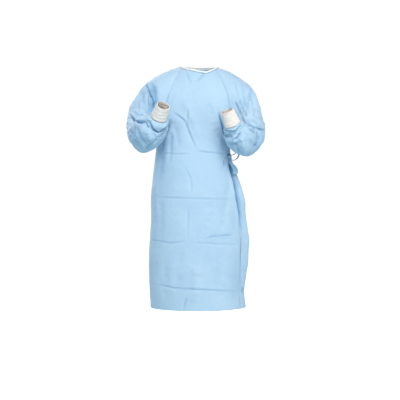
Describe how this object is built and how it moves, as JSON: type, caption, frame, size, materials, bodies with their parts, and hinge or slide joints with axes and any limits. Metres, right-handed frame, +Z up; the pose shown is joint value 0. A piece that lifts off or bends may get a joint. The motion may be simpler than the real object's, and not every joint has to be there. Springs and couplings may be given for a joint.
{
  "type": "surgical gown",
  "caption": "Wrap-back surgical gown with raglan sleeves, knitted cuffs, bound neck and a belt tied at the side, in worn form with both forearms raised.",
  "frame": {"origin": "middle of the neck base at shoulder level, where the wearer's shoulders hold the gown up", "axes": "+Z up, the wearer faces -Y, +X is the wearer's left; in metres"},
  "size_m": [0.6503, 0.4831, 1.1481],
  "materials": {
    "cloth_blue": "matt light blue nonwoven with a fine bonded pattern",
    "cuff_knit": "warm white rib knit",
    "binding_white": "white folded binding strip"
  },
  "bodies": {
    "root": {"front_panel": "cloth_blue", "back_panel_outer": "cloth_blue", "back_panel_inner": "cloth_blue", "sleeve_right": "cloth_blue", "sleeve_left": "cloth_blue", "cuff_right": "cuff_knit", "cuff_left": "cuff_knit", "neck_binding": "binding_white", "belt_front": "cloth_blue", "belt_flap": "cloth_blue", "belt_knot": "cloth_blue", "belt_loop": "cloth_blue", "belt_tail": "cloth_blue"}
  },
  "joints": []
}
